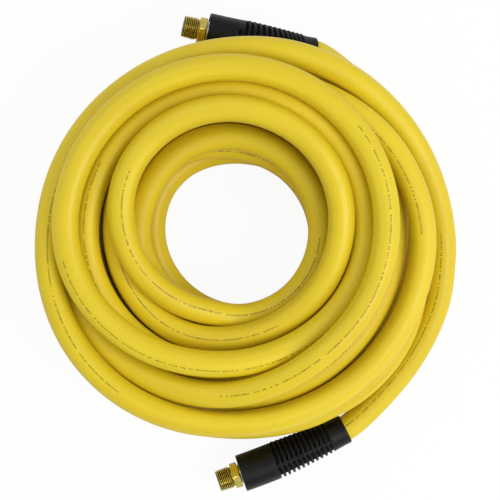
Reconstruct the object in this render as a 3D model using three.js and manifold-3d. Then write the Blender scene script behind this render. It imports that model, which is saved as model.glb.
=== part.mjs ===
// Coiled rubber air hose with a male pipe-thread fitting on each end, lying flat.
// Millimetres, +Z up. The origin is on the plane the coil rests on, at the middle of the outline
// seen from above. Angles and points below are measured from the coil's own centre, CENTRE.
// The coil is one solid. Its two free ends, a and b, are short rigid links with gaps between
// them, so that they can bend away from the coil.
import * as THREE from 'three';
import Module from 'manifold-3d';

const wasm = await Module();
wasm.setup();

// ---- hose and coil ----
const CENTRE = [-5.3, 15.41, 0];
const HOSE_R = 10.0;
const BORE_R = 6.35;          // 12.7 mm (1/2 in) inside diameter
const COIL_SIDES = 8;         // facets round the coiled hose
const COIL_BORE_SIDES = 6;
const LINK_SIDES = 12;        // facets round the pieces of the free ends
const STATIONS_PER_TURN = 20;
const FIRST_ANGLE = 306;      // degrees anticlockwise from +X, seen from above
const END_STATIONS = 4;       // stations at each end of the coil that guide a free end

// ---- gaps between rigid pieces ----
const SWING_GAP = 3.4;        // between links that turn 18 degrees on each other
const LIFT_GAP = 2.4;         // between links that turn 12 degrees
const FLEX_GAP = 2.2;         // between sleeve segments that turn 8 degrees

// ---- bend restrictor: a ribbed sleeve. Distances run from its tail face towards its mouth ----
const SLEEVE_LEN = 90;
const SLEEVE_TAIL_R = 11.8;
const SLEEVE_COLLAR_R = 14.7;
const TAPER_START = 6;
const TAPER_LEN = 58;
const SLEEVE_BORE_R = 10.8;   // corner radius of the bore facets
const COUNTERBORE_R = 13.25;  // wider bore round the ferrule
const SLOTS = 12;
const SLOT_PITCH = 3.97;
const SLOT_FIRST = 16.3;
const SLOT_W = 2.0;
const SLOT_DEPTH = 1.1;
const SLOT_SLOPE = 0.2;       // run of each slanted slot wall along the axis
const slotCentre = (slot) => SLOT_FIRST + SLOT_PITCH * slot;
const FLEX_AT = [2, 5, 8].map(slotCentre);   // the sleeve is parted at these slots
const HOSE_BEND_AT = 60;      // extra section in the hose inside the ferrule segment
const HOSE_SETBACK = 3.9;     // from the sleeve's mouth back to the end of the hose
const AXIS_BEYOND = 24;       // how far the end's axis runs past the sleeve's mouth

// ---- ferrule ----
const FERRULE_R = 12.4;
const FERRULE_IN_R = 10.8;
const FERRULE_LEN = 27;
const FERRULE_MOUTH_R = 7.3;
const CRIMP_DEPTH = 0.35;

// ---- fitting ----
const BARB_ROOT_R = 5.3;
const BARB_R = 5.75;
const BARB_BORE_R = 4.1;
const NECK_R = 6.6;
const HEX_START = 1.3;        // beyond the sleeve's mouth
const HEX_AF = 19.05;         // hexagon across flats
const HEX_LEN = 5.6;
const HEX_CHAMFER = 0.6;      // chamfer length along the axis
const HEX_END_R_EXTRA = 0.35; // end faces' radius beyond the flats
const RELIEF_R = 7.5;         // plain groove between hexagon and thread
const RELIEF_LEN = 0.9;
const THREAD_TIP_R = 8.57;    // 3/8-18 NPT male thread
const THREAD_END_R = 9.0;     // crest nearest the hexagon
const THREAD_PITCH = 1.411;
const THREAD_CRESTS = 8;
const THREAD_DEPTH = 0.95;
const TIP_R = 7.3;
const TIP_BORE_R = 4.75;

// ---- the coil's centreline: radius, height at each station; a line is a quarter turn ----
const COIL = [
  173.2, 12.8, 168.2, 18.5, 165.2, 27.5, 159.6, 38, 153.6, 55.5,
  148.6, 70.7, 144.5, 80.8, 140.7, 86.2, 137, 87.7, 135.6, 87.1,
  135.8, 85.7, 137.1, 84.4, 138.8, 83.6, 140.9, 83.2, 144.3, 82.3,
  147.1, 80.8, 147.6, 78.4, 146.1, 75.6, 143.8, 73.2, 142.4, 71.9,
  141.7, 71.5, 141.4, 72.6, 141.1, 75.4, 140, 79.3, 135.7, 83.2,
  130, 85.6, 123.2, 85.8, 118.7, 81.3, 117.1, 76.8, 117.4, 73.3,
  119.1, 70.5, 122.2, 68.2, 125.9, 67.2, 129.6, 66.3, 132, 65.6,
  131.5, 66.8, 128.1, 71, 124.2, 78.2, 119.7, 86.6, 113.7, 94.6,
  109.3, 99.8, 108.3, 102, 109.1, 102.5, 110.7, 102.6, 113.1, 103.1,
  115.5, 104.3, 117.6, 106.2, 119.8, 107.8, 121.9, 108, 123.7, 106.7,
  125.5, 104.6, 126.8, 102.5, 127.3, 100.4, 126.6, 98.2, 122.5, 96,
  115.2, 94.1, 107.7, 92.4, 101, 90.8, 96.8, 88.9, 94.5, 86.9,
  94.2, 85, 95.3, 83.8, 96.2, 83.2, 96.6, 83.5, 98, 85.4,
  100.3, 88.2, 102.1, 92.2, 103.8, 95.1, 106.6, 94.8, 108.4, 93.2,
  109.9, 90.8, 111.6, 87.6, 112.5, 84, 113.2, 80.1, 112.3, 76.7,
  110.1, 74, 107.5, 72.1, 104, 70.5, 100.4, 68.9, 98, 66.9,
  97.2, 64.9, 97.7, 63.6, 98.4, 63, 98.7, 63.3, 98.7, 64.1,
  98.4, 65.4, 97.7, 67.5, 97.2, 69.6, 96.9, 71.8, 96.5, 73.8,
  95.9, 75.4, 94.7, 76.3, 92.6, 76.4, 91.1, 74.1, 89.9, 70.9,
  88.7, 68.7, 87, 68.5, 83.5, 69.9, 79.2, 71.5, 76.3, 73.2,
  74.7, 76, 74.6, 80.4, 75.5, 86.1, 77.6, 91.7, 80.7, 96.7,
  84, 101.3, 86.7, 105.8, 89, 108.7, 91.5, 108.6, 93, 106.7,
  93.6, 103.6, 92.8, 100.3, 89.5, 97.1, 84, 93.2, 77.8, 87.9,
  71.5, 80.9, 66.3, 72.4, 63, 64, 63.4, 58.2, 63.4, 56,
  63.4, 56.5, 63.4, 58.7, 63.6, 61.8, 64.2, 64.7, 65.1, 67.1,
  66.5, 68.8, 68.3, 70.1, 70.7, 71.1, 73.3, 71.6, 75.1, 71.4,
  76, 70.4, 75.5, 68.4, 75.4, 65, 75.6, 60.6, 74, 55.7,
  71.2, 50.3, 68.8, 45, 67.1, 40.5, 65.8, 37.3, 64.8, 35.7,
  64.3, 36.2, 64, 38.4, 64.3, 41.4, 65.1, 44.4, 64.8, 46.7,
  64.9, 48.5, 64.7, 49.7, 65.4, 50.3, 67.4, 50.4, 71.2, 50.2,
  77.1, 49.9, 84.3, 49.8, 89.4, 49.7, 92.6, 49, 93.3, 48.1,
  91.8, 47.9, 89.4, 48.3, 87.2, 49, 85.3, 49.6, 83.9, 49.9,
  83.2, 49.7, 83.2, 49.1, 84, 48.3, 85.1, 48, 85.7, 48.3,
  86.1, 49, 85.8, 50.1, 86.2, 51.1, 87.8, 52.3, 91.2, 53.8,
  96.9, 55.1, 104.1, 55.7, 109.1, 55.7, 112.2, 55.2, 112.9, 54.3,
  111.8, 53.2, 109.7, 51.8, 108.3, 50.6, 108.2, 49.9, 109.3, 49.8,
  110.5, 49.2, 111.4, 48.3, 111.9, 47.7, 111.9, 47.6, 111.7, 48.3,
  111.4, 49.3, 109.9, 51.3, 109, 53.2, 109.3, 54.3, 111.6, 53.7,
  116.9, 50.4, 122.4, 45.8, 124.9, 42.4, 126.8, 40.4, 128.8, 40.9,
  130.3, 43.7, 130.3, 48.5, 128.9, 54.5, 126.5, 60.3, 123.3, 64.6,
  121, 67.1, 119.5, 68, 119.2, 67.7, 120.2, 66.9, 122.6, 66,
  126.3, 65.1, 130.1, 65.9, 133.4, 67.1, 135.4, 67.4, 136.6, 65.4,
  137.8, 61.7, 139.9, 57.4, 141.9, 54.1, 143.8, 51.7, 147.1, 50.6,
  150, 50.2, 151, 50.1, 149.3, 50.3, 146.1, 50.4, 142.2, 50.1,
  138.2, 49.7, 134.9, 49.5, 132.8, 49.5, 132.4, 49.5, 134.2, 49.1,
  138.6, 48.4, 139, 47.2, 134.9, 47, 129, 47.2, 129.5, 44.6,
  135.1, 40.4, 141.2, 36.5, 143.8, 33.7, 146.3, 31.5, 149.2, 30.4,
  150.9, 29.7, 151.4, 29.6, 150.7, 29.8, 150, 30.4, 151.6, 31.5,
  153.1, 32.7, 151.8, 33.3, 145.5, 32.6, 138.2, 30, 135.2, 28.3,
  132.6, 29, 129, 29.5, 126.4, 28.7, 125.3, 26.8, 125.8, 24.1,
  127.1, 21.8, 128.5, 20.2, 129.3, 19, 130.1, 19.1, 130.9, 20.6,
  131.3, 23.4, 131, 26.2, 130.2, 28.3, 129.3, 29.4, 128.1, 29.8,
  126.3, 29.6, 123.9, 29, 120.9, 28.3, 117.6, 27.9, 114.6, 28.2,
  111.9, 29.1, 108.6, 30.7, 106.3, 32.3, 105.8, 32.9, 106.9, 32.5,
  108.6, 31.2, 109.4, 29.8, 108.9, 29.5, 108.7, 29.3, 108.8, 29.2,
  108.9, 29.2, 109.1, 29.2, 108.9, 29.3, 108.2, 29.5, 106.9, 29.6,
  105.2, 29.4, 103.1, 29.4, 100.3, 29.5, 97.1, 29.5, 94, 29.4,
  91.3, 29.3, 88.2, 29.4, 86.1, 29.5, 85.6, 29.5, 86.6, 29.4,
  88.2, 29.6, 88.8, 29.6, 87.9, 29.4, 87.1, 29.2, 86.9, 28.6,
  87.1, 28, 87.5, 28, 87.8, 28.7, 87.5, 29.4, 86.4, 29.7,
  84.6, 29.4, 82.3, 28.8, 79.8, 27.8, 76.6, 27.4, 73.4, 28.2,
  70.7, 29, 67.8, 29.3, 65.7, 29.6, 65.2, 30, 66.1, 30.6,
  67.7, 31.2, 68.3, 31.5, 67.4, 31, 66.1, 30, 64.8, 28.5,
  63.8, 26.4, 63.5, 23.6, 64, 20.3, 65.1, 16.9, 66, 13.9,
  66.7, 11.6, 67, 10.1, 66.9, 9.4, 66.6, 9.24, 65.9, 9.24,
  65.6, 9.24, 65.9, 9.24, 66.6, 9.24, 67.5, 9.24, 68.4, 9.24,
  69.2, 9.24, 69.5, 9.24, 69.9, 9.24, 70.8, 9.24, 72.6, 9.24,
  75.1, 9.24, 78.2, 9.24, 81.4, 9.24, 84.3, 9.24, 86.5, 9.24,
  87.9, 9.24, 88.5, 9.24, 88.2, 9.24, 87.4, 9.24, 86.5, 9.24,
  86.2, 9.24, 86.5, 9.24, 87.2, 9.24, 88.1, 9.24, 89, 9.24,
  89.7, 9.24, 90.2, 9.24, 90.6, 9.24, 91.5, 9.24, 93.2, 9.24,
  95.7, 9.24, 98.8, 9.24, 102, 9.24, 104.9, 9.24, 107.1, 9.24,
  108.5, 9.24, 109.1, 9.24, 108.8, 9.24, 108, 9.24, 107.1, 9.24,
  106.8, 9.24, 107.1, 9.24, 107.9, 9.24, 108.8, 9.24, 109.6, 9.24,
  110.3, 9.24, 110.8, 9.24, 111.2, 9.24, 112.1, 9.24, 113.8, 9.24,
  116.3, 9.24, 119.4, 9.24, 122.6, 9.24, 125.5, 9.24, 127.7, 9.24,
  129.1, 9.24, 129.7, 9.24, 129.4, 9.24, 128.6, 9.24, 127.8, 9.24,
  127.3, 9.24, 128.3, 9.24, 131.4, 9.24, 136.4, 9.24, 140.8, 9.24,
  143.8, 9.24, 145.8, 9.24, 147.4, 9.24, 149, 9.24, 150.4, 9.24,
  151.4, 9.24, 151.9, 9.24, 152, 9.24, 151.6, 9.24, 151, 9.24,
  150.4, 9.24, 150.1, 9.24, 150.2, 9.24, 150.1, 9.24, 150.6, 9.24,
  151.5, 9.24, 152.9, 9.24,
];

const UP = new THREE.Vector3(0, 0, 1);
const rad = (degrees) => (degrees * Math.PI) / 180;
const polar = (degrees, radius, z) =>
  new THREE.Vector3(radius * Math.cos(rad(degrees)), radius * Math.sin(rad(degrees)), z);

const stations = [];
for (let i = 0; i < COIL.length / 2; i++) {
  const angle = FIRST_ANGLE + (360 / STATIONS_PER_TURN) * i;
  stations.push({
    point: polar(angle, COIL[2 * i], COIL[2 * i + 1]),
    outward: polar(angle, 1, 0),
  });
}

// ---- the two free ends ----
// coil: points leading out of the coil; tail: centre of the sleeve's tail face;
// heading: degrees seen from above at the sleeve's tail and mouth;
// tilt: [distance from the tail face, degrees of rise];
// hinges: [angle round the coil where the hose bends, gap there]
const END_B_LIFT = [0, 0, 0.6, 1.3];   // raises end b's guiding points
const ends = [
  {
    key: 'a',   // leaves the first, outermost turn
    coil: stations.slice(0, END_STATIONS).reverse().map(({ point }) => point),
    tail: new THREE.Vector3(85.5, -153.6, 12.6),
    heading: [207, 198.9],
    tilt: [[-12, 0], [18, 3.3]],
    hinges: [
      [342, SWING_GAP], [333, SWING_GAP], [324, SWING_GAP],
      [316, LIFT_GAP], [309, LIFT_GAP], [302.5, LIFT_GAP],
    ],
  },
  {
    key: 'b',   // leaves the outermost turn on the ground; climbs, then levels out
    coil: stations.slice(-END_STATIONS).map(({ point }, i) =>
      new THREE.Vector3(point.x, point.y, point.z + END_B_LIFT[i])),
    tail: new THREE.Vector3(61.08, 143.98, 13.38),
    heading: [174.4, 167.6],
    tilt: [[-14, 0], [2, 15.5], [16, 29], [30, 28.5], [44, 15.2], [58, 3.4], [72, 6.4]],
    hinges: [[39, SWING_GAP], [48, SWING_GAP], [57, SWING_GAP]],
  },
];

// ---- materials ----
const metal = (color, roughness) =>
  new THREE.MeshStandardMaterial({ color, roughness, metalness: 1 });
const plastic = (color, roughness) =>
  new THREE.MeshStandardMaterial({ color, roughness, metalness: 0 });
const rubberYellow = plastic(0xe2c62a, 0.55);
const sleeveBlack = plastic(0x1b1b1d, 0.5);
const brass = metal(0xc2a04c, 0.3);
const zinc = metal(0xd6d2bd, 0.35);

const root = new THREE.Group();
root.position.set(...CENTRE);

// ---- solids from sections ----
// adds one closed solid; its triangles are all turned over if they face inwards
function addSolid(name, points, faces, material) {
  let volume = 0;
  for (const [a, b, c] of faces) {
    volume += points[a].dot(new THREE.Vector3().crossVectors(points[b], points[c]));
  }
  const outward = volume < 0 ? faces.map(([a, b, c]) => [a, c, b]) : faces;
  const body = new wasm.Manifold(new wasm.Mesh({
    numProp: 3,
    vertProperties: new Float32Array(points.flatMap((p) => [p.x, p.y, p.z])),
    triVerts: new Uint32Array(outward.flat()),
  }));
  if (body.volume() <= 0) throw new Error(`${name} is not a closed solid`);
  const built = body.getMesh();
  const geometry = new THREE.BufferGeometry();
  const positions = new Float32Array(built.vertProperties);
  geometry.setAttribute('position', new THREE.BufferAttribute(positions, 3));
  geometry.setIndex(new THREE.BufferAttribute(new Uint32Array(built.triVerts), 1));
  geometry.computeVertexNormals();
  const mesh = new THREE.Mesh(geometry, material);
  mesh.name = name;
  root.add(mesh);
}

// a section is a centre point and two axes; this one is square to a direction
function squareSection(point, direction) {
  const across = new THREE.Vector3().crossVectors(direction, UP).normalize();
  const up = new THREE.Vector3().crossVectors(across, direction).normalize();
  return { point, across, up };
}

// corners round a section; radius may be a function of the angle,
// phase turns the first corner by a part of one facet
function ring({ point, across, up }, radius, sides, phase = 0.5) {
  return Array.from({ length: sides }, (_, i) => {
    const angle = ((i + phase) / sides) * 2 * Math.PI;
    const r = typeof radius === 'function' ? radius(angle) : radius;
    return point.clone()
      .addScaledVector(across, r * Math.cos(angle))
      .addScaledVector(up, r * Math.sin(angle));
  });
}

// a closed loop of rings: the outside from start to end, then the bore back again
function addRingLoop(name, rings, material) {
  const sides = rings[0].length;
  const faces = [];
  for (let k = 0; k < rings.length; k++) {
    const here = k * sides;
    const next = ((k + 1) % rings.length) * sides;
    for (let i = 0; i < sides; i++) {
      const j = (i + 1) % sides;
      faces.push([here + i, next + j, next + i], [here + i, here + j, next + j]);
    }
  }
  addSolid(name, rings.flat(), faces, material);
}

function addHoseLink(name, sections) {
  const outer = sections.map((section) => ring(section, HOSE_R, LINK_SIDES));
  const bore = sections.map((section) => ring(section, BORE_R, LINK_SIDES)).reverse();
  addRingLoop(name, [...outer, ...bore], rubberYellow);
}

// ---- axes and joints of the free ends ----
// value at s in a table of [s, value] pairs, straight between them and level past the last
function between(table, s) {
  for (let i = 1; i < table.length; i++) {
    const [s0, v0] = table[i - 1];
    const [s1, v1] = table[i];
    if (s <= s1) return v0 + ((v1 - v0) * (s - s0)) / (s1 - s0);
  }
  return table[table.length - 1][1];
}

// the sleeve's slightly bent axis, walked in 1 mm steps; s = 0 is the tail face
function makeAxis({ tail, heading: [tailHeading, mouthHeading], tilt }) {
  const direction = (s) => {
    const turned = Math.min(1, s / SLEEVE_LEN);
    const heading = rad(tailHeading + (mouthHeading - tailHeading) * turned);
    const rise = rad(between(tilt, s));
    return new THREE.Vector3(
      Math.cos(heading) * Math.cos(rise),
      Math.sin(heading) * Math.cos(rise),
      Math.sin(rise),
    );
  };
  const samples = [];
  const walker = tail.clone();
  for (let s = 0; s <= SLEEVE_LEN + AXIS_BEYOND; s++) {
    samples.push(walker.clone());
    walker.addScaledVector(direction(s + 0.5), 1);
  }
  const point = (s) => {
    const i = Math.floor(s);
    return samples[i].clone().lerp(samples[i + 1], s - i);
  };
  const section = (s, squareTo = direction(s)) => squareSection(point(s), squareTo);
  return { direction, point, section };
}

// the sections on the two sides of a gap, the coil's side first
function makeJoint(point, direction, gap) {
  const shifted = (distance) =>
    squareSection(point.clone().addScaledVector(direction, distance), direction);
  return { before: shifted(-gap / 2), after: shifted(gap / 2) };
}

// hinges lie on a smooth curve from inside the coil into the sleeve
function makeHinges({ coil, tail, hinges }, axis) {
  const CURVE_STEPS = 1400;
  const UNSEARCHED = 60;   // steps left out at the sleeve end
  const through = [...coil, tail, axis.point(22), axis.point(44)];
  const curve = new THREE.CatmullRomCurve3(through, false, 'centripetal');
  const points = curve.getPoints(CURVE_STEPS);
  return hinges.map(([degrees, gap]) => {
    let best = 0;
    let least = Infinity;
    for (let i = 0; i < CURVE_STEPS - UNSEARCHED; i++) {
      const angle = (Math.atan2(points[i].y, points[i].x) * 180) / Math.PI;
      const miss = Math.abs(((angle - degrees + 900) % 360) - 180);
      if (miss < least) {
        least = miss;
        best = i;
      }
    }
    const tangent = points[best + 1].clone().sub(points[best - 1]).normalize();
    return makeJoint(points[best], tangent, gap);
  });
}

for (const end of ends) {
  end.axis = makeAxis(end);
  end.joints = makeHinges(end, end.axis);
  end.flexes = FLEX_AT.map((s) => makeJoint(end.axis.point(s), end.axis.direction(s), FLEX_GAP));
}

// ---- the coiled hose: upright radial sections, closed by a square one at each end ----
function addCoil() {
  const start = ends[0].joints[0].before;
  const sections = [
    { ...start, across: start.across.clone().negate() },   // end a runs against the coil
    ...stations.slice(3, -1).map(({ point, outward }) => ({ point, across: outward, up: UP })),
    ends[1].joints[0].before,
  ];
  const last = sections.length - 1;
  const boreBase = sections.length * COIL_SIDES;
  const points = [
    ...sections.flatMap((section) => ring(section, HOSE_R, COIL_SIDES)),
    ...sections.flatMap((section) => ring(section, BORE_R, COIL_BORE_SIDES)),
  ];
  const faces = [];
  const addWall = (base, sides, flip) => {
    for (let k = 0; k < last; k++) {
      const here = base + k * sides;
      const next = here + sides;
      for (let i = 0; i < sides; i++) {
        const j = (i + 1) % sides;
        const pair = [[here + i, here + j, next + j], [here + i, next + j, next + i]];
        for (const [a, b, c] of pair) faces.push(flip ? [a, c, b] : [a, b, c]);
      }
    }
  };
  addWall(0, COIL_SIDES, false);
  addWall(boreBase, COIL_BORE_SIDES, true);

  const flat = {
    point: new THREE.Vector3(),
    across: new THREE.Vector3(1, 0, 0),
    up: new THREE.Vector3(0, 1, 0),
  };
  const cap = THREE.ShapeUtils.triangulateShape(
    ring(flat, HOSE_R, COIL_SIDES),
    [ring(flat, BORE_R, COIL_BORE_SIDES)],
  );
  const corner = (k, v) => (v < COIL_SIDES
    ? k * COIL_SIDES + v
    : boreBase + k * COIL_BORE_SIDES + v - COIL_SIDES);
  for (const [a, b, c] of cap) {
    faces.push([corner(0, a), corner(0, c), corner(0, b)]);
    faces.push([corner(last, a), corner(last, b), corner(last, c)]);
  }
  addSolid('hose_coil', points, faces, rubberYellow);
}

// ---- hose between the gaps of a free end ----
function addHoseLinks({ key, axis, joints, flexes }) {
  for (let k = 1; k < joints.length; k++) {
    addHoseLink(`hose_${key}_link_${k}`, [joints[k - 1].after, joints[k].before]);
  }
  const lastHinge = joints[joints.length - 1];
  addHoseLink(`hose_${key}_in_tail`, [lastHinge.after, axis.section(0), flexes[0].before]);
  addHoseLink(`hose_${key}_in_ribs_1`, [flexes[0].after, flexes[1].before]);
  addHoseLink(`hose_${key}_in_ribs_2`, [flexes[1].after, flexes[2].before]);
  addHoseLink(`hose_${key}_in_ferrule`,
    [flexes[2].after, axis.section(HOSE_BEND_AT), axis.section(SLEEVE_LEN - HOSE_SETBACK)]);
}

// ---- bend restrictor: four segments with slots running round them ----
function sleeveR(s) {
  const taper = Math.max(0, (s - TAPER_START) / TAPER_LEN);
  return Math.min(SLEEVE_COLLAR_R, SLEEVE_TAIL_R + taper * (SLEEVE_COLLAR_R - SLEEVE_TAIL_R));
}

function addRestrictor({ key, axis }) {
  const bounds = [0, ...FLEX_AT, SLEEVE_LEN];
  const parts = ['tail', 'ribs_1', 'ribs_2', 'collar'];
  parts.forEach((part, k) => {
    const isCollar = part === 'collar';
    const start = bounds[k] + (k > 0 ? FLEX_GAP / 2 : 0);
    const stop = bounds[k + 1] - (isCollar ? 0 : FLEX_GAP / 2);
    const startDirection = axis.direction(bounds[k]);
    const stopDirection = axis.direction(bounds[k + 1]);

    // entries: distance, radius, direction the ring is square to where it isn't the axis's own
    const outside = [[start, sleeveR(start), startDirection]];
    for (let slot = 0; slot < SLOTS; slot++) {
      const centre = slotCentre(slot);
      if (centre < start || centre > stop) continue;
      const a = centre - SLOT_W / 2;
      const b = centre + SLOT_W / 2;
      outside.push(
        [a, sleeveR(a)], [a + SLOT_SLOPE, sleeveR(a) - SLOT_DEPTH],
        [b - SLOT_SLOPE, sleeveR(b) - SLOT_DEPTH], [b, sleeveR(b)],
      );
    }
    outside.push([stop, sleeveR(stop), stopDirection]);

    const bore = [[stop, isCollar ? COUNTERBORE_R : SLEEVE_BORE_R, stopDirection]];
    if (isCollar) {
      const ferruleStart = SLEEVE_LEN - FERRULE_LEN;
      bore.push([ferruleStart - 0.6, COUNTERBORE_R], [ferruleStart - 1.6, SLEEVE_BORE_R]);
    }
    bore.push([start, SLEEVE_BORE_R, startDirection]);

    const rings = [...outside, ...bore].map(([s, radius, direction]) =>
      ring(axis.section(s, direction), radius, LINK_SIDES, 0));
    addRingLoop(`restrictor_${key}_${part}`, rings, sleeveBlack);
  });
}

// ---- ferrule and fitting: [distance beyond the sleeve's mouth, radius] profiles ----
function addTurned(name, axis, profile, material) {
  const straight = axis.direction(SLEEVE_LEN);
  const rings = profile.map(([distance, radius]) =>
    ring(axis.section(SLEEVE_LEN + distance, straight), radius, LINK_SIDES, 0));
  addRingLoop(name, rings, material);
}

// crimped sleeve over the hose; its mouth flange closes on the fitting's neck
function addFerrule({ key, axis }) {
  const crimp = (start) => [
    [start, FERRULE_R], [start + 1, FERRULE_R - CRIMP_DEPTH],
    [start + 4, FERRULE_R - CRIMP_DEPTH], [start + 5, FERRULE_R],
  ];
  addTurned(`ferrule_${key}`, axis, [
    [-FERRULE_LEN, FERRULE_R - 0.5], [-FERRULE_LEN + 1, FERRULE_R],
    ...crimp(-20), ...crimp(-12),
    [0.4, FERRULE_R], [0.9, FERRULE_R - 0.6],
    [0.9, FERRULE_MOUTH_R], [-2.6, FERRULE_MOUTH_R],
    [-2.6, FERRULE_IN_R], [-FERRULE_LEN, FERRULE_IN_R],
  ], zinc);
}

// hexagon's radius at an angle, full and where its chamfers meet the end faces
const hex = (angle) =>
  HEX_AF / 2 / Math.cos(((angle + Math.PI / 6) % (Math.PI / 3)) - Math.PI / 6);
const hexEnd = (angle) => Math.min(hex(angle), HEX_AF / 2 + HEX_END_R_EXTRA);

// barbed tail in the bore, neck, hexagon and tapered male thread
function addFitting({ key, axis }) {
  const hexStop = HEX_START + HEX_LEN;
  const threadStart = hexStop + RELIEF_LEN;
  const tip = threadStart + THREAD_PITCH * THREAD_CRESTS;
  const profile = [
    [-24, 4.9], [-22, 5.7], [-19, BARB_R], [-18.7, BARB_ROOT_R],
    [-15, BARB_R], [-14.7, BARB_ROOT_R], [-11, BARB_R], [-10.7, BARB_ROOT_R],
    [-7, BARB_R], [-3.4, BARB_R], [-3.2, NECK_R], [HEX_START, NECK_R],
    [HEX_START, hexEnd], [HEX_START + HEX_CHAMFER, hex],
    [hexStop - HEX_CHAMFER, hex], [hexStop, hexEnd],
    [hexStop, RELIEF_R], [threadStart, RELIEF_R],
  ];
  for (let k = 0; k < THREAD_CRESTS; k++) {
    const crestR = THREAD_END_R + ((THREAD_TIP_R - THREAD_END_R) * k) / (THREAD_CRESTS - 1);
    const crestAt = threadStart + THREAD_PITCH * (k + 0.5);
    profile.push([crestAt, crestR]);
    if (k < THREAD_CRESTS - 1) profile.push([crestAt + THREAD_PITCH / 2, crestR - THREAD_DEPTH]);
  }
  profile.push([tip, TIP_R], [tip, TIP_BORE_R], [0, TIP_BORE_R]);
  profile.push([-3, BARB_BORE_R], [-24, BARB_BORE_R]);
  addTurned(`fitting_${key}`, axis, profile, brass);
}

addCoil();
for (const end of ends) {
  addHoseLinks(end);
  addRestrictor(end);
  addFerrule(end);
  addFitting(end);
}

export default root;
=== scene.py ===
"""Visual model of a coiled yellow air hose with ribbed black bend restrictors, crimped ferrules and
brass male ends. The coil lies on the floor and turns about a vertical axis through CENTRE. Shapes are
worked out in millimetres from that axis; mm() turns them into metres in the frame of the part.

End a is where the hose's arc length starts, end b where it stops. Along a restrictor sleeve, `along`
is the distance in mm from its tail face (0, on the coil's side) to its mouth (SLEEVE_LEN)."""
import math

import bpy
import numpy as np
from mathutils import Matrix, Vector


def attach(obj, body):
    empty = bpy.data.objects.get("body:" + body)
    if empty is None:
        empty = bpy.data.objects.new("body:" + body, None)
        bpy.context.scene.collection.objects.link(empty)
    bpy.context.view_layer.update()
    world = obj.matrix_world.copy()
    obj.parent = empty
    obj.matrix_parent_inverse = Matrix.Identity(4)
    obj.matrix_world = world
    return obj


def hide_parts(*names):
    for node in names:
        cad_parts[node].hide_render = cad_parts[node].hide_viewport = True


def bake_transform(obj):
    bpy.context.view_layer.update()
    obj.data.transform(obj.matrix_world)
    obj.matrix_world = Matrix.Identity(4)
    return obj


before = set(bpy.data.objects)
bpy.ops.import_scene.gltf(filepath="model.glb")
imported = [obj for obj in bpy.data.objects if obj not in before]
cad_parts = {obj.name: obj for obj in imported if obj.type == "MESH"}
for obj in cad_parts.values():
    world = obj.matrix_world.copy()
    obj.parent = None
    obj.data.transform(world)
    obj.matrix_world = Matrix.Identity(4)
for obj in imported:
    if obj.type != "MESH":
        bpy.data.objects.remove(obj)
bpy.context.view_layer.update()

# ------------------------------------------------------------------ dimensions, millimetres
CENTRE = np.array([-5.3, 15.41, 0.0])
HOSE_R, BORE_R = 10.0, 6.35
SAMPLE_STEP = 0.5                       # between samples of the centreline
SLEEVE_LEN, TAIL_R, COLLAR_R = 90.0, 11.8, 14.7
MOUTH = SLEEVE_LEN
SLEEVE_BORE_R = 10.12
TAIL_BAND = 6.0                         # length of the sleeve before its taper starts
SLOT_PITCH, SLOT_FIRST, SLOTS = 3.97, 16.3, 12
SLOT_LAST = SLOT_FIRST + SLOT_PITCH * (SLOTS - 1)
FERRULE_LEN = 27.0
HOSE_END = SLEEVE_LEN - 3.9
THREAD_PITCH, THREAD_CRESTS = 1.411, 8
THREAD_END_R, THREAD_TIP_R, THREAD_DEPTH = 9.0, 8.57, 0.95
HEX_AF, HEX_LEN, TIP_BORE_R = 19.05, 5.6, 4.75
FLEX_HALF = 5.45                        # half the length of a flex zone round each FLEX_AT place; the sleeve is not bent over it
FLEX_AT = [SLOT_FIRST + SLOT_PITCH * k for k in (2, 5, 8)]
SPLIT_AT = [SLOT_FIRST + SLOT_PITCH * (k + 0.5) for k in (3, 6)]   # on rib crests between the FLEX_AT places

# the hose's centreline: a station every 18 degrees, anticlockwise seen from above
FIRST_STATION, STATION_STEP = 306.0, 18.0
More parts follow.
